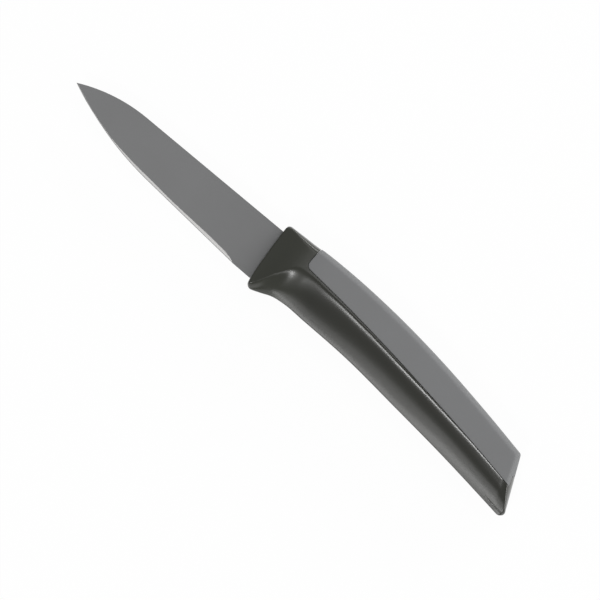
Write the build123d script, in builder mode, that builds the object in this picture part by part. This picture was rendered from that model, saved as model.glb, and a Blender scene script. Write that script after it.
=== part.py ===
"""Paring knife with a coated steel blade and an insert-moulded handle.

The knife lies flat on its side: +X runs from the tip to the butt, +Y from the cutting edge to the
spine, and +Z is square to the side of the blade. All sizes are in millimetres. The side view is
drawn from the top front corner of the handle, and every plane below carries it to the frame, whose
origin is under the middle of the knife.
"""
import os
from math import cos, radians, sin

from build123d import *

# Overall size, in the side view
tip_x = -88.7
tip_y = -9.3
butt_x = 123.746
crest_y = 2.976
lowest_y = -28.031
grip_half = 9.0
lie_half = 9.059
beyond = 40.0

# Blade, stamped from sheet and ground on both sides to a thin edge and a thinner tip
sheet_half = 0.75
spine_y = -1.45
spine_bend = (-62.0, -2.56)
heel = (-5.9, -21.6)
edge_bend = (-48.0, -19.1)
tip_direction = (1, -0.43)
edge_direction = (1, -0.06)
grind_to_edge = 0.0194
grind_to_tip = 0.0051

# Bare cutting bevel: stations along the blade, and its width there
bevel_widths = {-92.0: 0.3, -78.0: 0.3, -67.0: 0.36, -58.0: 0.8, -49.0: 1.05, -36.0: 0.85,
                -18.0: 1.25, -10.5: 1.15, -7.6: 0.75, -5.9: 0.1}

# Tang, hidden in the handle, as thick as the sheet
tang_top_y = -5.8
tang_bottom_y = -15.4
tang_shoulder_x = 9.0
tang_end_x = 86.0
tang_holes_x = [26.0, 48.0, 70.0]
tang_hole_radius = 2.5

# Handle, side view: front with its rounded top, guard nose, slanted and crowned butt
front_top = (0.3, 1.5)
front_middle = (1.05, -10.5)
front_bottom = (2.6, -24.6)
front_top_radius = 1.5
guard_radius = 3.0
guard_back_x = 8.0
guard_clear_x = 14.0
butt_under = (112.0, -26.9)
butt_top = (114.1, -5.6)
butt_bottom = (124.97, -28.39)
butt_crown_radius = 16.8
butt_rim = 0.6
butt_corner_radius = 1.8
above = 10.0

# Handle cross-sections: place along the knife, heights of spine, ridge and belly, half widths at
# spine and ridge, softness of the ridge, lean of the lower face, fullness of the belly, and how far
# the rounding of the spine reaches down the face
handle_sections = [
    (-3.0, 1.35, -22.3, -24.6, 6.3, 6.8, 1.3, 48.0, 5.0, 0.8),
    (4.5, 1.75, -22.0, -24.6, 6.4, 6.9, 1.5, 46.0, 5.0, 0.9),
    (8.0, 1.95, -16.0, -23.3, 6.5, 7.4, 2.4, 30.0, 4.8, 1.1),
    (12.0, 2.10, -10.2, -21.6, 6.6, 8.0, 3.2, 22.0, 4.6, 1.4),
    (17.0, 2.50, -8.5, -20.8, 6.8, 8.5, 2.6, 20.0, 4.4, 1.8),
    (26.0, 2.78, -8.3, -20.8, 6.9, 8.9, 1.0, 20.0, 3.4, 2.2),
    (45.0, 2.40, -9.3, -21.0, 7.0, grip_half, 0.5, 22.0, 2.8, 2.4),
    (70.0, 0.32, -11.7, -22.85, 7.0, grip_half, 0.5, 25.0, 2.6, 2.4),
    (95.0, -3.20, -14.7, -25.0, 7.0, grip_half, 0.5, 27.0, 2.6, 2.4),
    (118.0, -7.20, -17.9, -27.6, 7.0, grip_half, 0.5, 29.0, 2.6, 2.4),
    (132.0, -9.70, -20.0, -29.3, 7.0, grip_half, 0.5, 30.0, 2.6, 2.4),
]

# How full the curves of a section are, as shares of the lengths that they run along
crest_share = 0.72
turn_share = 0.2
belly_share = 0.35

# Soft grip, a saddle over the back of the core that also caps the top of the butt
grip_front_x = 14.3
grip_front_radius = 2.0
grip_border = [(14.0, -5.6), (29.5, -6.5), (50.5, -8.35), (75.8, -11.3), (101.1, -14.7), (130.0, -19.7)]
grip_proud = 0.15
grip_depth = 2.0
butt_cap_height = 8.0
butt_cap_depth = 2.2

# Planes that carry the side view and the cross-sections to the frame
middle_x = (tip_x + butt_x) / 2
middle_y = (crest_y + lowest_y) / 2
side_view = Plane(origin=(-middle_x, -middle_y, lie_half))
butt_line = Vector(butt_bottom) - Vector(butt_top)
butt_view = Plane(
    origin=side_view.from_local_coords(butt_top),
    x_dir=(-butt_line.Y, butt_line.X, 0),
    z_dir=(butt_line.X, butt_line.Y, 0),
)


def slice_at(x):
    """Plane of the cross-section at x: its X is height, its Y is distance from the middle plane."""
    return Plane(origin=(x - middle_x, -middle_y, lie_half), x_dir=(0, 1, 0), z_dir=(1, 0, 0))


def edge_height(x):
    """Height of the cutting edge: straight from the heel, then bowed up to the tip."""
    slope = (edge_bend[1] - heel[1]) / (edge_bend[0] - heel[0])
    height = edge_bend[1] + slope * (x - edge_bend[0])
    if x > edge_bend[0]:
        return height
    bow = (tip_y - edge_bend[1] - slope * (tip_x - edge_bend[0])) / (tip_x - edge_bend[0]) ** 2
    return height + bow * (x - edge_bend[0]) ** 2


def handle_outline(section, grow):
    """Closed line round one handle section, grown outwards by grow.

    Each half has a rounded spine, a flat upper face, a soft ridge and a full lower face.
    """
    x, spine, ridge, belly, spine_half, ridge_half, soft, lean, full, turn = section
    top = spine + grow
    bottom = belly - grow
    shoulder = Vector(top, spine_half + grow)
    corner = Vector(ridge, ridge_half + grow)
    down_face = (corner - shoulder).normalized()
    down_side = Vector(-cos(radians(lean)), -sin(radians(lean)))
    crest_end = Vector(top, shoulder.Y * crest_share)
    turn_start = shoulder + down_face * turn * turn_share
    face_top = shoulder + down_face * turn
    face_end = corner - down_face * soft
    side_top = corner + down_side * soft
    side_pull = side_top + down_side * (ridge - bottom) * belly_share
    with BuildLine(mode=Mode.PRIVATE) as half:
        Bezier((top, 0), crest_end, turn_start, face_top)
        Line(face_top, face_end)
        Bezier(face_end, corner, side_top)
        Bezier(side_top, side_pull, (bottom, full + grow), (bottom, 0))
    return half.line


def handle_body(grow):
    """Solid lofted through the handle sections, each grown outwards by grow."""
    with BuildPart() as body:
        for section in handle_sections:
            with BuildSketch(slice_at(section[0])):
                with BuildLine():
                    add(handle_outline(section, grow))
                    mirror(about=Plane.XZ)
                make_face()
        loft()
    return body.part


# What is ground off one side of the blade: all outside a slightly sloping plane, up to the handle
with BuildPart() as flat_grind:
    ground_side = Plane(
        origin=side_view.from_local_coords((0, spine_y, sheet_half)),
        x_dir=(1, 0, grind_to_tip),
        z_dir=(-grind_to_tip, -grind_to_edge, 1),
    )
    with BuildSketch(ground_side):
        Rectangle(6 * beyond, 2 * beyond)
    extrude(amount=beyond)
    with BuildSketch(side_view):
        with BuildLine():
            ThreePointArc(front_top, front_middle, front_bottom)
            Polyline(
                front_bottom,
                (-3 * beyond, front_bottom[1]),
                (-3 * beyond, front_top[1]),
                front_top,
            )
        make_face()
    extrude(amount=2 * beyond, both=True, mode=Mode.INTERSECT)

# What is ground off one side of the cutting edge: its section is a wedge, wider by the station
with BuildPart() as edge_bevel:
    for x, width in bevel_widths.items():
        foot = edge_height(x)
        side = sheet_half + grind_to_edge * (foot + width - spine_y) + grind_to_tip * x
        below_edge = (foot - width, -side)
        above_bevel = (foot + 2 * width, 2 * side)
        with BuildSketch(slice_at(x)):
            with BuildLine():
                Polyline(below_edge, above_bevel, (foot - width, 2 * side), close=True)
            make_face()
    loft()

# Blade, with its tang
with BuildPart() as blade:
    with BuildSketch(side_view):
        with BuildLine():
            spine = Line((tang_shoulder_x, spine_y), spine_bend)
            TangentArc(spine @ 1, (tip_x, tip_y), tangent=spine % 1)
            Spline((tip_x, tip_y), edge_bend, tangents=[tip_direction, edge_direction])
            Polyline(edge_bend, heel, (tang_shoulder_x, heel[1]), (tang_shoulder_x, spine_y))
        make_face()
        with Locations(((tang_shoulder_x + tang_end_x) / 2, (tang_top_y + tang_bottom_y) / 2)):
            Rectangle(tang_end_x - tang_shoulder_x, tang_top_y - tang_bottom_y)
        with Locations([(x, (tang_top_y + tang_bottom_y) / 2) for x in tang_holes_x]):
            Circle(tang_hole_radius, mode=Mode.SUBTRACT)
    extrude(amount=sheet_half, both=True)
    for cutter in (flat_grind.part, edge_bevel.part):
        add(cutter, mode=Mode.SUBTRACT)
        add(mirror(cutter, about=side_view, mode=Mode.PRIVATE), mode=Mode.SUBTRACT)

# What is cut off the handle: all past the crowned butt
with BuildPart() as past_butt:
    with BuildSketch(butt_view):
        with Locations((beyond - butt_crown_radius, 0)):
            Rectangle(2 * beyond, 2 * beyond)
        with Locations((-butt_crown_radius, 0)):
            Circle(butt_crown_radius, mode=Mode.SUBTRACT)
    extrude(amount=beyond, both=True)

# Side view of the handle: it shapes the front, the guard nose and the tip of the butt
with BuildPart() as handle_profile:
    with BuildSketch(side_view) as profile:
        with BuildLine():
            ThreePointArc(front_top, front_middle, front_bottom)
            Polyline(
                front_bottom,
                (guard_back_x, front_bottom[1]),
                (guard_clear_x, -beyond),
                (butt_under[0], -beyond),
                butt_under,
                butt_bottom,
                butt_top,
                (butt_top[0], above),
                (beyond, above),
                front_top,
            )
        make_face()
        for corner, radius in (
            (front_top, front_top_radius),
            (front_bottom, guard_radius),
            (butt_bottom, butt_corner_radius),
        ):
            fillet(profile.vertices().sort_by_distance(Vector(corner))[0], radius)
    extrude(amount=beyond, both=True)


def finished_body(grow):
    """Handle body grown by grow, with its butt, its profile and its rims."""
    with BuildPart() as body:
        add(handle_body(grow))
        add(past_butt.part, mode=Mode.SUBTRACT)
        fillet(body.faces().sort_by(Axis.X)[-1].edges(), butt_rim)
        add(handle_profile.part, mode=Mode.INTERSECT)
    return body.part


# Pocket for the soft grip: the back of the handle down to the border line, and to the depth of the
# grip under the surface, with a deeper step over the top of the butt
with BuildPart() as grip_pocket:
    with BuildSketch(side_view) as grip_outline:
        with BuildLine():
            Spline(*grip_border)
            Polyline(
                grip_border[-1],
                (grip_border[-1][0], above),
                (grip_front_x, above),
                grip_border[0],
            )
        make_face()
        fillet(grip_outline.vertices().sort_by_distance(Vector(grip_border[0]))[0], grip_front_radius)
    extrude(amount=beyond, both=True)
    add(handle_body(-grip_depth), mode=Mode.SUBTRACT)

with BuildPart() as butt_cap:
    with BuildSketch(butt_view.offset(-above)):
        with Locations((beyond / 2 - butt_cap_depth, 0)):
            Rectangle(beyond, beyond)
    extrude(amount=above + butt_cap_height)
    with BuildSketch(side_view):
        add(grip_outline.sketch_local)
    extrude(amount=beyond, both=True, mode=Mode.INTERSECT)

with BuildPart() as handle_core:
    add(finished_body(0))
    for cutter in (grip_pocket, butt_cap, blade):
        add(cutter.part, mode=Mode.SUBTRACT)

with BuildPart() as soft_grip:
    add(grip_pocket.part)
    add(butt_cap.part)
    add(finished_body(grip_proud), mode=Mode.INTERSECT)

os.makedirs("parts", exist_ok=True)
blade.part.label = "blade"
export_step(blade.part, "parts/blade.step")
handle_core.part.label = "handle_core"
export_step(handle_core.part, "parts/handle_core.step")
soft_grip.part.label = "soft_grip"
export_step(soft_grip.part, "parts/soft_grip.step")

for piece in (blade, handle_core, soft_grip):
    print(piece.part.label, len(piece.part.solids()), piece.part.is_valid, round(piece.part.volume))
    print(piece.part.bounding_box())
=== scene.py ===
"""Looks of the paring knife: finishes on its three pieces, plain studio light and the camera.

The handle is drawn again here as two fine skins, from one table of cross-sections, because the
solids have no gap or rims along the soft grip. Lengths are in millimetres unless metres are named.
"""
from math import cos, radians, sin

import bmesh
import bpy
import numpy as np
from mathutils import Matrix, Vector


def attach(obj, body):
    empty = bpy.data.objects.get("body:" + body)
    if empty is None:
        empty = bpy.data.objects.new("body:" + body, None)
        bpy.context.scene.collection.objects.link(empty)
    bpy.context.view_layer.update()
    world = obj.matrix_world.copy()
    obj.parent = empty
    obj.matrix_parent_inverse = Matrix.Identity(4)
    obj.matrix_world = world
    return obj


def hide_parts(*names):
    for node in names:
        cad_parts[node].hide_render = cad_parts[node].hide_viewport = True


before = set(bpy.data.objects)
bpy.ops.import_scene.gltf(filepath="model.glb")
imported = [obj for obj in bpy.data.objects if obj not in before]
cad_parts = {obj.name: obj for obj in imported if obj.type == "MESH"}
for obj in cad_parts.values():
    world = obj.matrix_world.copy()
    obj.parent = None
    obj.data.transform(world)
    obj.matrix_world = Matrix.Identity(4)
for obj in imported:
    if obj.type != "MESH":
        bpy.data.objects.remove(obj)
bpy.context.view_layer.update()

MM = 0.001

# Middle of the frame in the knife's side view, which is drawn from the top front corner of the
# handle, and the height of the knife's middle plane over the floor
MIDDLE_X = 17.523
MIDDLE_Y = -12.5275
LIE_HALF = 9.059

# Camera: straight down on the knife's side, rolled so that it runs from upper left to lower right
ROLL = radians(40.7)
VIEW_CENTRE = (20.45, -15.97)
VIEW_WIDTH = 210.5
CAMERA_DISTANCE = 1500.0
SENSOR = 36.0
RIGHT = Vector((cos(ROLL), sin(ROLL), 0.0))
UP = Vector((-sin(ROLL), cos(ROLL), 0.0))
OUT = Vector((0.0, 0.0, 1.0))

# Studio
FLOOR_WHITE = (0.9, 0.9, 0.9, 1.0)  # takes the shadows
FLOOR_SEEN = 0.96  # share of plain white that the camera sees instead
FLOOR_REACH = 3.0  # half its size, in metres
WORLD_GLOW = 0.35

# Lamps: name, direction in the picture in degrees from the right, angle off the camera's axis,
# distance and (length round the axis, width) in metres, brightness
LAMPS = [
    ("ridge_light", 239.0, 26.0, 1.2, (0.12, 0.24), 37.0),
    ("belly_light", 227.0, 72.0, 1.2, (1.4, 0.24), 1.72),
    ("low_light", 227.0, 85.0, 1.2, (1.4, 0.2), 5.0),
    ("spine_light", 49.3, 76.0, 1.2, (1.4, 0.4), 7.0),
    ("face_light", 49.3, 24.0, 1.2, (1.4, 0.3), 1.8),
    ("butt_light", 319.3, 80.0, 1.6, (1.2, 0.4), 7.5),
]

# Blade: the cutting edge runs straight from the heel and bows up to the tip, as in part.py, and
# the bare bevel has these widths along it
EDGE_BEND = (-48.0, -19.1)
EDGE_SLOPE = -0.05938
EDGE_BOW = 0.004457
BEVEL = [
    (-92.0, 0.3),
    (-78.0, 0.3),
    (-67.0, 0.36),
    (-58.0, 0.8),
    (-49.0, 1.05),
    (-36.0, 0.85),
    (-18.0, 1.25),
    (-10.5, 1.15),
    (-7.6, 0.75),
    (-5.9, 0.1),
]
BEVEL_MOST = 1.5
BARE_FADE = (-0.05, 0.03)  # the coat starts softly here, counted from the bevel's upper line
HONED_SHADE_FADE = (0.18, 0.3)  # the honed edge's painted shade ends softly here, counted from the cutting edge

# Finishes. Colours are linear, and noise runs between the two of a pair. A noise is the size of
# its features in millimetres, its detail and its stretch. A roughness is the range that a noise
# runs through, and a relief is the depth that it gives.
COAT_GREYS = ((0.163016, 0.164, 0.164984, 1.0), (0.176494, 0.179, 0.181506, 1.0))
COAT_CLOUD = (14.0, 3.0)
COAT_GRAIN = (0.16, 2.0)
COAT_ROUGH = (0.42, 0.52)
GROUND_GREYS = ((0.5656, 0.56, 0.5544, 1.0), (0.7272, 0.72, 0.7128, 1.0))
GROUND_LINES = (1.2, 4.0, (0.03, 1.0, 1.0))  # narrow along the blade: lines across the bevel
GROUND_ROUGH = (0.58, 0.7)
# darker grey along the honed cutting edge: painted shade
HONED_SHADE_GREY = (0.36, 0.36, 0.36, 1.0)
STEEL_RELIEF = 0.006
GRIP_GREYS = ((0.15147, 0.153, 0.15453, 1.0), (0.1617, 0.165, 0.1683, 1.0))
GRIP_CLOUD = (16.0, 2.0)
GRIP_GRAIN = (0.3, 3.0)
GRIP_ROUGH = (0.62, 0.76)
GRIP_RELIEF = 0.012

# Black plastic, with a duller collar whose lighter black is painted light, and a fine crease under
# the butt
CORE_BLACK = (0.0205, 0.0208, 0.0165, 1.0)
# lighter black on the collar: painted light on the same plastic, not a colour of its own
COLLAR_LIT_BLACK = (0.0255, 0.0269, 0.0203, 1.0)
COLLAR_FADE = (13.0, 24.0)  # the collar's lighter colour, painted light, and its dullness end softly here along the knife
COLLAR_DULL = 0.03  # roughness that the collar adds
CORE_WAVES = (9.0, 2.0)
CORE_ROUGH = (0.225, 0.24)
CORE_RELIEF = 0.008
CREASE = (115.5, -25.9, -0.0988)  # a point on the crease in side view, and its slope
CREASE_START = (113.5, 116.5)  # it starts softly here along the knife
CREASE_HALF = (0.04, 0.3)  # half widths of its bottom and of its mouth
CREASE_DEPTH = 0.2

# Handle sections: place along the knife, heights of spine, ridge and belly, half widths at spine
# and ridge, softness of the ridge, lean of the side under it in degrees, half width of the
# underside, and how far down the face the spine's rounding reaches
HANDLE = np.array(
    [
        (-3.0, 1.35, -22.3, -24.6, 6.3, 6.8, 1.3, 48.0, 4.3, 0.8),
        (4.5, 1.75, -22.0, -24.6, 6.4, 6.9, 1.5, 46.0, 4.2, 0.9),
        (8.0, 1.95, -16.0, -23.3, 6.5, 7.4, 2.4, 30.0, 2.6, 1.7),
        (12.0, 2.10, -10.2, -21.6, 6.6, 8.0, 3.2, 22.0, 1.8, 2.1),
        (17.0, 2.50, -8.3, -20.8, 6.8, 8.5, 2.4, 20.0, 1.6, 2.1),
        (26.0, 2.78, -7.95, -20.8, 6.9, 8.9, 1.4, 20.0, 1.6, 2.3),
        (45.0, 2.40, -9.1, -21.0, 7.0, 9.0, 1.1, 22.0, 1.6, 2.4),
        (70.0, 0.32, -11.7, -22.85, 7.0, 9.0, 1.0, 23.0, 1.5, 2.4),
        (95.0, -3.20, -14.9, -25.0, 7.0, 9.0, 1.1, 23.0, 1.6, 2.4),
        (118.0, -7.20, -18.1, -27.6, 7.0, 9.0, 1.1, 20.0, 2.2, 2.4),
        (132.0, -9.70, -20.3, -29.3, 7.0, 9.0, 1.1, 20.0, 2.2, 2.4),
    ]
)

# Lower border of the grip in side view, and the front line of the handle
BORDER = np.array(
    [(14.0, -5.6), (29.5, -6.65), (50.5, -8.5), (75.8, -11.5), (101.1, -14.95), (130.0, -19.9)]
)
FRONT = np.polyfit([1.5, -10.5, -24.6], [0.3, 1.05, 2.6], 2)

# Ends of the handle in side view
TOP_CORNER = (0.3, 1.5)  # top front corner: place of its front, radius
NOSE = (2.3, -24.55, 2.3)  # guard nose: place of its front, height of its bottom, radius
BUTT_TOP = (114.1, -5.6)  # a point of the butt's slanted line
BUTT_OUT = (0.9026, 0.4305)  # the direction that this line faces
BUTT_CROWN = 16.8  # radius of the butt's crown across the knife
BUTT_TIP = (121.94, -26.22, 1.8)  # low tip: its centre and radius
BUTT_ROLL = (-5.0, -0.6, 0.9)  # inward roll of the side: start and end from the line, and depth
FRONT_RIM = 0.45  # rounded rims of the front and the butt
BUTT_RIM = 0.6

# Handle section
SPINE_FLAT = 0.72  # share of the spine's half width over which it stays nearly flat
SPINE_TURN = 0.2  # share of the turn's reach down the face that pulls the spine's curve
RIDGE_LEAST = 1.1  # least height of the ridge over the belly
RIDGE_SPREAD = 1.7  # how far the ridge's rounding reaches down the side, for its softness
SOFT_MOST = 0.5  # largest softness, for the height of the ridge over the belly
STRIP_MOST = 0.7  # largest share of the strip beside the grip that the rounding takes
STRIP_FOLD = 0.36  # how far the strip folds inwards, for its height
FOLD_START = 60.0  # where along the knife the fold starts
FOLD_LENGTH = 40.0  # over which length it grows
SIDE_RUNS = (0.35, 0.18)  # how far the side's curve runs straight on at its top and at its foot
UNDER_EDGE = 0.16  # tight edge of the underside
UNDER_MOST = 0.2  # largest size of this edge, for the height of the ridge over the belly

# Soft grip and its pocket in the core
GRIP_FRONT = 14.3  # place of its front line
GRIP_CORNER = 2.0  # round corner at the foot of this line
GRIP_LEAN = (5.0, 4.0, 0.035)  # it leans back: height over the border, length and rate
GRIP_PROUD = 0.15  # how far it stands out of the core
GRIP_DEPTH = 2.0  # how deep it lies in the core
GRIP_GAP = 0.12  # gap all round it
GRIP_RIM = 0.3  # its rounded rim along the gap
CORE_EDGE = 0.12  # the core's rounded rim along the gap
RIM_REACH = 1.0  # skin deeper than this lies in the pocket and has no rim
CAP_DEPTH = 2.2  # thickness of the cap over the butt
CAP_PLACE = 1.46  # where on the face the cap ends
CAP_STEP = 0.01  # width of the step beside it in the core
POCKET_PLAY = 0.05  # play under the grip and behind the cap
POCKET_DRAFT = 0.02  # slope of the pocket's walls

# Meshes: numbers of columns before the grip's front and behind it, numbers of rows, and the places
# of the rows down the face
CORE_COLUMNS = (25, 240)
CORE_ROWS = (18, 7, 14, 31, 8)  # over the spine, strip and ridge, down the side, under the belly
CORE_FACE = (1.1, 1.2, 1.3, 1.4, CAP_PLACE, CAP_PLACE + CAP_STEP, 1.6, 1.75, 1.9)
GRIP_COLUMNS = 119
GRIP_ROWS = 22  # over the spine
GRIP_FACE = (1.1, 1.2, 1.3, 1.4, CAP_PLACE, 1.6, 1.7, 1.8, 1.88)
FIRST_X = (0.0, 20.0, 120.0)  # first guess of x at the front, at the grip's front and at the butt
ROUNDS = 30  # rounds in which it settles
MERGE = 0.002  # points nearer than this are one
SHARP = radians(35.0)  # edges over this angle stay sharp


def smooth(x, stations, values):
    """Values at the stations, joined by cubic pieces that share their slope at each station."""
    slopes = np.gradient(values, stations)
    i = np.clip(np.searchsorted(stations, x) - 1, 0, len(stations) - 2)
    step = stations[i + 1] - stations[i]
    t = np.clip((x - stations[i]) / step, 0.0, 1.0)
    start = values[i] * (1 + 2 * t) * (1 - t) ** 2 + slopes[i] * step * t * (1 - t) ** 2
    return start + values[i + 1] * t * t * (3 - 2 * t) - slopes[i + 1] * step * t * t * (1 - t)


def bezier(t, *points):
    """Bezier curve of any degree at t: a (1 - t) + b t between neighbours until one is left."""
    while len(points) > 1:
        points = [a * (1 - t) + b * t for a, b in zip(points, points[1:])]
    return points[0]


def quarter(distance, radius):
    """How far a round corner stands in at a distance from its side: r - sqrt(r^2 - (r - d)^2)."""
    left = np.clip(radius - distance, 0.0, radius)
    return radius - np.sqrt(radius**2 - left**2)


def handle_skin(x, place, shift, grow):
    """Heights and half widths round half a handle section at x, and the grip's border there.

    place runs round the half section: 0 to 1 over the spine, a cubic curve; 1 to 2 down the flat
    face to the border of the grip; 2 to 3 down the narrow strip to the ridge; 3 to 4 over the
    ridge, a quadratic curve; 4 to 5 down the side, a cubic curve; 5 to 6 round a tight edge and in
    under the belly, a quadratic curve. shift moves a point of the face up the face, and grow moves
    the skin outwards.

    The ridge's rounding takes m tanh(s / m) of the strip, for softness s and largest share m, so
    it never takes all of it. Before the butt the side's half width shrinks by a smooth step,
    depth t^2 (3 - 2 t), which fades in over the ridge.
    """
    spine, ridge, belly, spine_half, ridge_half, soft, lean, under_half, turn = (
        smooth(x, HANDLE[:, 0], column) for column in HANDLE.T[1:]
    )
    spine = spine - quarter(x - TOP_CORNER[0], TOP_CORNER[1])
    nose = NOSE[1] + quarter(x - NOSE[0], NOSE[2])
    belly = np.where(x < NOSE[0] + NOSE[2], np.maximum(belly, nose), belly)
    tip = np.clip(x - BUTT_TIP[0], -BUTT_TIP[2], BUTT_TIP[2])
    tip_floor = BUTT_TIP[1] - np.sqrt(BUTT_TIP[2] ** 2 - tip**2)
    belly = np.where(tip > 0.0, np.maximum(belly, tip_floor), belly)
    ridge = np.maximum(ridge, belly + RIDGE_LEAST)
    top = spine + grow
    bottom = belly - grow
    depth = ridge - bottom
    soft = np.minimum(soft, SOFT_MOST * depth)
    lean = np.radians(lean)

    drop = np.hypot(ridge - top, ridge_half - spine_half)
    down = np.array([(ridge - top) / drop, (ridge_half - spine_half) / drop])
    side = np.array([-np.cos(lean), -np.sin(lean)])
    crest = np.array([top, 0.0 * top])
    shoulder = np.array([top, spine_half + grow])
    flat_end = np.array([top, SPINE_FLAT * (spine_half + grow)])
    face_top = shoulder + down * turn
    border = smooth(x, BORDER[:, 0], BORDER[:, 1])
    edge = face_top + down * (border - face_top[0]) / down[0]
    fold = STRIP_FOLD * np.clip((x - FOLD_START) / FOLD_LENGTH, 0.0, 1.0) * (border - ridge)
    corner = np.array([ridge, ridge_half + grow - fold])
    strip = corner - edge
    face_end = corner - strip * STRIP_MOST * np.tanh(soft / np.hypot(*strip) / STRIP_MOST)
    side_top = corner + side * soft * RIDGE_SPREAD
    foot = np.array([bottom, under_half + grow])
    edge_top = foot + np.minimum(UNDER_EDGE, UNDER_MOST * depth)
    keel = np.array([bottom, 0.0 * bottom])
    side_points = (side_top + side * depth * SIDE_RUNS[0], edge_top + depth * SIDE_RUNS[1])
    pieces = [
        bezier(place, crest, flat_end, shoulder + down * turn * SPINE_TURN, face_top),
        face_top + (edge - face_top) * (place - 1) + down * shift / down[0],
        edge + (face_end - edge) * (place - 2) + strip * shift / strip[0],
        bezier(place - 3, face_end, corner, side_top),
        bezier(place - 4, side_top, *side_points, edge_top),
        bezier(place - 5, edge_top, foot, keel),
    ]
    which = np.clip(np.ceil(place) - 1, 0, 5).astype(int)
    height = np.choose(which, [piece[0] for piece in pieces])
    half_width = np.choose(which, [piece[1] for piece in pieces])

    start, end, roll_depth = BUTT_ROLL
    back = (x - BUTT_TOP[0]) * BUTT_OUT[0] + (height - BUTT_TOP[1]) * BUTT_OUT[1]
    t = np.clip((back - start) / (end - start), 0.0, 1.0)
    roll = roll_depth * t * t * (3 - 2 * t) * np.clip(place - 3, 0.0, 1.0)
    return height, half_width * (1 - roll / ridge_half), border


def butt_x(height, half_width):
    """Where the butt ends: a slanted line in side view, crowned across, with its low tip rounded.

    The crown is an arc across, r - sqrt(r^2 - w^2), and the tip an arc in side view.
    """
    crown = BUTT_CROWN - np.sqrt(BUTT_CROWN**2 - half_width**2)
    line = BUTT_TOP[0] - (height - BUTT_TOP[1]) * BUTT_OUT[1] / BUTT_OUT[0]
    below = np.clip(height - BUTT_TIP[1], -BUTT_TIP[2], BUTT_TIP[2])
    tip = BUTT_TIP[0] + np.sqrt(BUTT_TIP[2] ** 2 - below**2)
    outer = BUTT_TIP[1] + BUTT_TIP[2] * BUTT_OUT[1]
    return np.where(height < outer, np.minimum(line, tip), line) - crown / BUTT_OUT[0]


def front_x(height, side):
    """Where the handle starts: a parabola in side view, straight across."""
    return np.polyval(FRONT, height) + 0.0 * side


def grip_front(inset, height):
    """Front line of the grip at a height over its border, moved in by inset.

    It is upright, ends in a round corner at the border and leans back in a parabola higher up.
    """
    radius = GRIP_CORNER - inset
    reach = np.sqrt(np.maximum(radius**2 - np.maximum(GRIP_CORNER - height, 0.0) ** 2, 0.0))
    lean_start, lean_length, lean_rate = GRIP_LEAN
    lean_back = lean_rate * np.clip(height - lean_start, 0.0, lean_length) ** 2
    under_border = inset * np.clip(-height / GRIP_CORNER, 0.0, 1.0)
    return GRIP_FRONT + GRIP_CORNER - reach + lean_back + under_border


def handle_grid(columns, rows, level, back=0.0):
    """Half a handle skin, on columns from front to butt and rows from spine to belly.

    A column is (share of the front, share of the butt, distance in from that end, inset from the
    grip's front, level, rim), and a row is (place, shift, level). The skin stands out by the
    column's and the row's level, joined by the rule level, and rim takes a rounded rim off it, but
    not down in the pocket. back moves the butt in. Each point settles in a few rounds, because the
    ends depend on its height.
    """
    front_share, butt_share, distance, inset, column_level, rim = np.array(columns).T[:, :, None]
    place, shift, row_level = np.array(rows).T[:, None, :]
    grow = level(column_level, row_level)
    grow = grow + rim * (grow > -RIM_REACH)
    place = place + 0.0 * grow
    first, middle, last = FIRST_X
    x = middle + (last - middle) * butt_share - (middle - first) * front_share + 0.0 * grow
    for _ in range(ROUNDS):
        height, half_width, border = handle_skin(x, place, shift, grow)
        front = np.polyval(FRONT, height) + distance
        butt = butt_x(height, half_width) - distance - back
        middle = grip_front(inset, height - border)
        x = front_share * front + butt_share * butt + (1 - front_share - butt_share) * middle
    return np.stack([x, height, half_width], axis=-1)


def cap(outline, end_x, back=0.0, across=17):
    """Closes an end: joins each point of its half outline straight across to its mirror image."""
    share = np.linspace(-1.0, 1.0, across)
    height = outline[:, 1, None] + 0.0 * share
    side = outline[:, 2, None] * share
    return np.stack([end_x(height, np.abs(side)) - back, height, side], axis=-1)


def both_sides(half):
    """The half and its mirror image across the knife."""
    return [half, half * (1.0, 1.0, -1.0)]


def rounding(radius, count=6):
    """Steps round a quarter circle: distance in from the edge, and how far below the skin is.

    At angle a they are r (1 - cos a) and r (1 - sin a).
    """
    angle = np.linspace(0.0, np.pi / 2, count)
    return list(zip(radius * (1 - np.cos(angle)), radius * (1 - np.sin(angle))))


def steps(first, last, count):
    """Even steps from first to last, without first."""
    return np.linspace(first, last, count + 1)[1:]


def join(name, grids):
    """Mesh of grids whose edges meet: doubles merged, faces outwards, smooth but for sharp edges.

    The points move from the side view's millimetres to the frame's metres.
    """
    points = []
    faces = []
    for grid in grids:
        rows, columns = grid.shape[:2]
        number = np.arange(rows * columns).reshape(rows, columns) + sum(len(p) for p in points)
        corners = (number[:-1, :-1], number[1:, :-1], number[1:, 1:], number[:-1, 1:])
        faces.append(np.stack(corners, axis=-1).reshape(-1, 4))
        points.append(grid.reshape(-1, 3))
    points = (np.concatenate(points) - (MIDDLE_X, MIDDLE_Y, -LIE_HALF)) * MM
    mesh = bpy.data.meshes.new(name)
    mesh.from_pydata(points.tolist(), [], np.concatenate(faces).tolist())
    work = bmesh.new()
    work.from_mesh(mesh)
    bmesh.ops.remove_doubles(work, verts=work.verts, dist=MERGE * MM)
    bmesh.ops.recalc_face_normals(work, faces=work.faces)
    work.to_mesh(mesh)
    work.free()
    mesh.shade_smooth()
    mesh.set_sharp_from_angle(angle=SHARP)
    piece = bpy.data.objects.new(name, mesh)
    bpy.context.scene.collection.objects.link(piece)
    return piece


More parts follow.
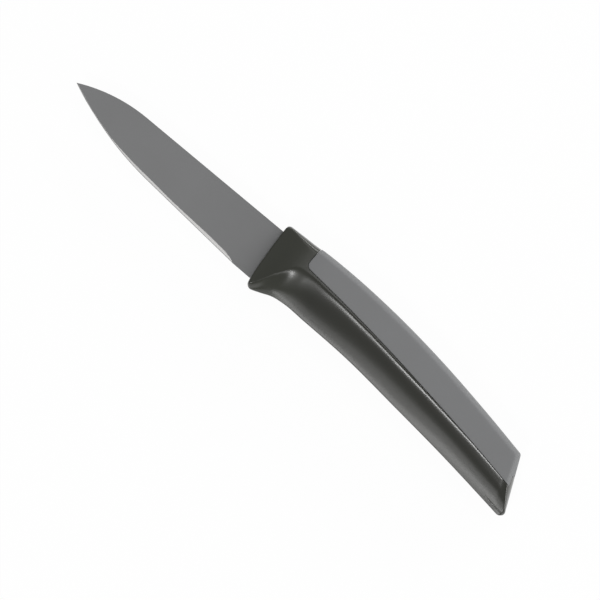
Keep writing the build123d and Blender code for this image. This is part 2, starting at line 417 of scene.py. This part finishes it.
def handle_core():
    """Black core: the whole handle skin, stepped down to a pocket where the grip lies."""
    deep = -GRIP_DEPTH - POCKET_PLAY
    collar, pocket = CORE_COLUMNS
    columns = [(1, 0, away, 0, 0, -down) for away, down in rounding(FRONT_RIM)]
    columns += [(1 - f, 0, FRONT_RIM, -CORE_EDGE, 0, 0) for f in steps(0, 1, collar)[:-1]]
    columns += [(0, 0, 0, -down, -away, 0) for away, down in rounding(CORE_EDGE)]
    columns += [(0, 0, 0, 0, deep, 0)]
    columns += [(0, f, BUTT_RIM, POCKET_DRAFT, deep, 0) for f in np.linspace(0, 1, pocket)]
    columns += [(0, 1, away, 0, deep, -down) for away, down in rounding(BUTT_RIM)[-2::-1]]

    spine, strip, ridge, side, belly = CORE_ROWS
    rows = [(place, 0, deep) for place in (*np.linspace(0, 1, spine), *CORE_FACE)]
    rows += [(2, POCKET_DRAFT, deep), (2, 0, deep)]
    rows += [(2, -down, -away) for away, down in rounding(CORE_EDGE)[::-1]]
    rows += [(2 + f, -CORE_EDGE * (1 - f), 0) for f in steps(0, 1, strip)]
    for first, count in ((3, ridge), (4, side), (5, belly)):
        rows += [(place, 0, 0) for place in steps(first, first + 1, count)]

    back = np.array([[CAP_DEPTH + POCKET_PLAY if row[0] <= CAP_PLACE else 0.0 for row in rows]])
    skin = handle_grid(columns, rows, np.maximum, back)
    ends = [cap(skin[0], front_x), cap(skin[-1], butt_x, back.T)]
    return join("core_shell", both_sides(skin) + ends)


def soft_grip():
    """Grey saddle: proud of the core, edges rounded, closed underneath, with a cap at the butt."""
    rim = [(GRIP_GAP + away, GRIP_PROUD - down) for away, down in rounding(GRIP_RIM)]
    inside = GRIP_GAP + GRIP_RIM
    columns = [(0, 0, 0, GRIP_GAP, -GRIP_DEPTH, 0)]
    columns += [(0, 0, 0, inset, level, 0) for inset, level in rim]
    columns += [(0, f, BUTT_RIM, inside, GRIP_PROUD, 0) for f in steps(0, 1, GRIP_COLUMNS)]
    columns += [(0, 1, away, 0, GRIP_PROUD, -down) for away, down in rounding(BUTT_RIM)[-2::-1]]
    columns += [(0, 1, 0, 0, -GRIP_DEPTH, 0)]

    places = (*np.linspace(0, 1, GRIP_ROWS), *GRIP_FACE)
    rows = [(place, 0, GRIP_PROUD) for place in places]
    rows += [(2, shift, level) for shift, level in rim[::-1]]
    rows += [(2, GRIP_GAP, -GRIP_DEPTH)]

    outer = handle_grid(columns, rows, np.minimum)
    inner_columns = [column[:4] + (0, 0) for column in columns]
    inner_rows = [row[:2] + (0,) for row in rows]
    inner = handle_grid(inner_columns, inner_rows, lambda a, b: a + b - GRIP_DEPTH)
    plate = inner[-1, : sum(row[0] <= CAP_PLACE for row in rows)]
    ends = [cap(plate, butt_x), cap(plate, butt_x, CAP_DEPTH)]
    sides = both_sides(np.stack([plate, plate - (CAP_DEPTH, 0.0, 0.0)]))
    underside = np.stack([end[-1] for end in ends])
    return join("grip_saddle", both_sides(outer) + both_sides(inner) + ends + sides + [underside])


class Value:
    """A number worked out by a shader: arithmetic on it adds Math nodes."""

    def __init__(self, finish, socket):
        self.finish = finish
        self.socket = socket

    def math(self, operation, *others):
        inputs = dict(enumerate([self, *others]))
        return self.finish.node("ShaderNodeMath", {"operation": operation}, inputs)

    def __add__(self, other):
        return self.math("ADD", other)

    def __sub__(self, other):
        return self.math("SUBTRACT", other)

    def __rsub__(self, other):
        return self.finish.node("ShaderNodeMath", {"operation": "SUBTRACT"}, {0: other, 1: self})

    def __mul__(self, other):
        return self.math("MULTIPLY", other)

    def __truediv__(self, other):
        return self.math("DIVIDE", other)

    def __abs__(self):
        return self.math("ABSOLUTE")

    def between(self, low, high):
        """low at 0 and high at 1."""
        return low + (high - low) * self

    def ramp(self, low, high):
        """0 below low, 1 above high, smooth between."""
        return self.finish.node(
            "ShaderNodeMapRange",
            {"interpolation_type": "SMOOTHSTEP"},
            {"Value": self, "From Min": low, "From Max": high},
        )

    __radd__ = __add__
    __rmul__ = __mul__


class Finish:
    """A material being made. node() adds any node, and shader() ends it with a Principled BSDF."""

    def __init__(self, name):
        self.material = bpy.data.materials.new(name)
        self.material.use_nodes = True
        self.nodes = self.material.node_tree.nodes
        self.links = self.material.node_tree.links
        self.nodes.clear()

    def plug(self, value, socket):
        """Links a shader value to a socket, or sets a constant on it."""
        if isinstance(value, Value):
            self.links.new(value.socket, socket)
        else:
            socket.default_value = value

    def node(self, kind, settings=None, inputs=None, output=0):
        node = self.nodes.new(kind)
        for name, value in (settings or {}).items():
            setattr(node, name, value)
        for name, value in (inputs or {}).items():
            self.plug(value, node.inputs[name])
        return Value(self, node.outputs[output])

    def place(self, scale):
        """Object coordinates in metres, times scale."""
        where = self.node("ShaderNodeTexCoord", output="Object")
        return self.node("ShaderNodeMapping", {}, {"Vector": where, "Scale": scale})

    def side_view(self):
        """x and y in the side view, in millimetres."""
        where = self.place((1.0 / MM, 1.0 / MM, 1.0 / MM))
        parts = self.node("ShaderNodeSeparateXYZ", {}, {"Vector": where}).socket.node.outputs
        return Value(self, parts["X"]) + MIDDLE_X, Value(self, parts["Y"]) + MIDDLE_Y

    def noise(self, size, detail, stretch=(1.0, 1.0, 1.0)):
        """Noise from 0 to 1 with features of about size millimetres."""
        scale = tuple(1.0 / (size * MM * s) for s in stretch)
        return self.node(
            "ShaderNodeTexNoise",
            {"noise_dimensions": "3D"},
            {"Vector": self.place(scale), "Scale": 1.0, "Detail": detail, "Roughness": 0.5},
        )

    def ramp_stops(self, value, stops):
        """Grey ramp through (place, level) stops."""
        node = self.nodes.new("ShaderNodeValToRGB")
        elements = node.color_ramp.elements
        while len(elements) < len(stops):
            elements.new(0.5)
        for element, (place, level) in zip(elements, sorted(stops)):
            element.position = place
            element.color = (level, level, level, 1.0)
        self.plug(value, node.inputs[0])
        return Value(self, node.outputs[0])

    def mix(self, factor, first, second):
        """Colour between first and second."""
        node = self.nodes.new("ShaderNodeMix")
        node.data_type = "RGBA"
        self.plug(factor, node.inputs["Factor"])
        self.plug(first, node.inputs[6])
        self.plug(second, node.inputs[7])
        return Value(self, node.outputs[2])

    def bump(self, height, distance, under=None):
        """Relief of a height from 0 to 1, distance millimetres deep, on top of another relief."""
        inputs = {"Height": height, "Distance": distance * MM, "Strength": 1.0}
        if under is not None:
            inputs["Normal"] = under
        return self.node("ShaderNodeBump", {}, inputs)

    def shader(self, **inputs):
        principled = self.nodes.new("ShaderNodeBsdfPrincipled")
        for name, value in inputs.items():
            self.plug(value, principled.inputs[name.replace("_", " ")])
        end = self.nodes.new("ShaderNodeOutputMaterial")
        self.links.new(principled.outputs[0], end.inputs["Surface"])
        return self.material


def coated_steel():
    """Satin dark grey coat, bare ground steel on the bevel facets, which tilt away from the flats,
    and painted shade in a darker grey along the honed cutting edge.

    The cutting edge is at y = bend + slope (x - bend x) + bow (bend x - x)^2, the last term only
    beyond the bend, and the bare steel reaches a bevel's width over it.
    """
    coat = Finish("coated_steel")
    x, y = coat.side_view()
    bowed = (EDGE_BEND[0] - x).math("MAXIMUM", 0.0)
    edge = EDGE_BEND[1] + EDGE_SLOPE * (x - EDGE_BEND[0]) + EDGE_BOW * bowed * bowed
    span = BEVEL[-1][0] - BEVEL[0][0]
    stops = [((at - BEVEL[0][0]) / span, width / BEVEL_MOST) for at, width in BEVEL]
    bevel_width = coat.ramp_stops((x - BEVEL[0][0]) / span, stops) * BEVEL_MOST
    bare = 1.0 - (y - edge - bevel_width).ramp(*BARE_FADE)
    # painted shade: the honed cutting edge is drawn in a darker grey
    honed_shade = 1.0 - (y - edge).ramp(*HONED_SHADE_FADE)
    cloud = coat.noise(*COAT_CLOUD)
    grain = coat.noise(*COAT_GRAIN)
    lines = coat.noise(*GROUND_LINES)
    steel_colour = coat.mix(honed_shade, coat.mix(lines, *GROUND_GREYS), HONED_SHADE_GREY)
    colour = coat.mix(bare, coat.mix(cloud, *COAT_GREYS), steel_colour)
    roughness = grain.between(*COAT_ROUGH) * (1.0 - bare) + lines.between(*GROUND_ROUGH) * bare
    relief = coat.bump(grain * (1.0 - bare) + lines * bare, STEEL_RELIEF)
    return coat.shader(Base_Color=colour, Metallic=bare, Roughness=roughness, Normal=relief)


def black_plastic():
    """Semi-gloss black polypropylene, slightly uneven, with a duller collar in a lighter black
    that is painted light, and the crease.
    """
    plastic = Finish("black_plastic")
    waves = plastic.noise(*CORE_WAVES)
    x, y = plastic.side_view()
    collar = 1.0 - x.ramp(*COLLAR_FADE)
    # the collar gets the lighter black: painted light
    colour = plastic.mix(collar, CORE_BLACK, COLLAR_LIT_BLACK)
    roughness = waves.between(*CORE_ROUGH) + COLLAR_DULL * collar
    away = abs(y - CREASE[1] - CREASE[2] * (x - CREASE[0]))
    crease = away.ramp(*CREASE_HALF).math("MAXIMUM", 1.0 - x.ramp(*CREASE_START))
    relief = plastic.bump(crease, CREASE_DEPTH, plastic.bump(waves, CORE_RELIEF))
    return plastic.shader(Base_Color=colour, Roughness=roughness, Normal=relief)


def soft_grip_rubber():
    """Matte grey soft-touch elastomer with a fine even grain."""
    rubber = Finish("grey_soft_grip")
    grain = rubber.noise(*GRIP_GRAIN)
    colour = rubber.mix(rubber.noise(*GRIP_CLOUD), *GRIP_GREYS)
    relief = rubber.bump(grain, GRIP_RELIEF)
    return rubber.shader(Base_Color=colour, Roughness=grain.between(*GRIP_ROUGH), Normal=relief)


def dress(node, material):
    """Gives a CAD node its finish."""
    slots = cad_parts[node].material_slots
    if not slots:
        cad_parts[node].data.materials.append(material)
    for slot in slots:
        slot.material = material


def turned(axes, where):
    """Matrix that turns an object's axes to these and puts it there, in metres."""
    return Matrix.Translation(where) @ Matrix(axes).transposed().to_4x4()


def add_camera():
    """Camera over the knife, with the picture's right and up turned by the roll."""
    data = bpy.data.cameras.new("camera")
    data.sensor_width = SENSOR
    data.lens = SENSOR * CAMERA_DISTANCE / VIEW_WIDTH
    data.clip_end = 10.0
    camera = bpy.data.objects.new("camera", data)
    x, y = VIEW_CENTRE
    where = Vector((x - MIDDLE_X, y - MIDDLE_Y, LIE_HALF + CAMERA_DISTANCE)) * MM
    camera.matrix_world = turned((RIGHT, UP, OUT), where)
    bpy.context.scene.collection.objects.link(camera)
    bpy.context.scene.camera = camera


def add_lamp(name, side, lift, distance, size, glow):
    """Soft rectangular lamp that faces the knife, as a row of LAMPS describes it.

    Its power is pi times its area times glow, so that glow is its brightness at any size.
    """
    data = bpy.data.lights.new(name, "AREA")
    data.shape = "RECTANGLE"
    data.size_y, data.size = size
    data.energy = glow * np.pi * size[0] * size[1]
    lamp = bpy.data.objects.new(name, data)
    across = RIGHT * cos(radians(side)) + UP * sin(radians(side))
    towards = across * sin(radians(lift)) + OUT * cos(radians(lift))
    along = OUT.cross(across).normalized()
    lamp.matrix_world = turned((along.cross(towards), along, towards), towards * distance)
    bpy.context.scene.collection.objects.link(lamp)


def add_floor():
    """White sweep under the knife: it looks white, and still takes the knife's soft shadow."""
    sweep = Finish("white_sweep")
    paths = sweep.nodes.new("ShaderNodeLightPath")
    camera, glossy, through = (
        Value(sweep, paths.outputs[name])
        for name in ("Is Camera Ray", "Is Glossy Ray", "Is Transmission Ray")
    )
    shown = (camera * FLOOR_SEEN + glossy + through).math("MINIMUM", 1.0)
    diffuse = sweep.nodes.new("ShaderNodeBsdfDiffuse")
    diffuse.inputs["Color"].default_value = FLOOR_WHITE
    white = sweep.nodes.new("ShaderNodeEmission")
    white.inputs["Strength"].default_value = 1.0
    blend = sweep.nodes.new("ShaderNodeMixShader")
    end = sweep.nodes.new("ShaderNodeOutputMaterial")
    sweep.plug(shown, blend.inputs[0])
    sweep.links.new(diffuse.outputs[0], blend.inputs[1])
    sweep.links.new(white.outputs[0], blend.inputs[2])
    sweep.links.new(blend.outputs[0], end.inputs["Surface"])
    mesh = bpy.data.meshes.new("floor")
    signs = ((-1, -1), (1, -1), (1, 1), (-1, 1))
    corners = [(x * FLOOR_REACH, y * FLOOR_REACH, 0.0) for x, y in signs]
    mesh.from_pydata(corners, [], [(0, 1, 2, 3)])
    mesh.materials.append(sweep.material)
    floor = bpy.data.objects.new("floor", mesh)
    bpy.context.scene.collection.objects.link(floor)


def add_world():
    """Even white light from all round."""
    world = bpy.data.worlds.new("studio")
    world.use_nodes = True
    background = world.node_tree.nodes["Background"]
    background.inputs["Color"].default_value = (1.0, 1.0, 1.0, 1.0)
    background.inputs["Strength"].default_value = WORLD_GLOW
    bpy.context.scene.world = world


dress("blade", coated_steel())
for piece, node, slot, material in (
    (handle_core(), "handle_core", "black_plastic", black_plastic()),
    (soft_grip(), "soft_grip", "grey_soft_grip", soft_grip_rubber()),
):
    piece.data.materials.append(material)
    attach(piece, "root")
    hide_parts(node)

add_camera()
add_floor()
add_world()
for lamp in LAMPS:
    add_lamp(*lamp)

bpy.context.scene.view_settings.view_transform = "Standard"
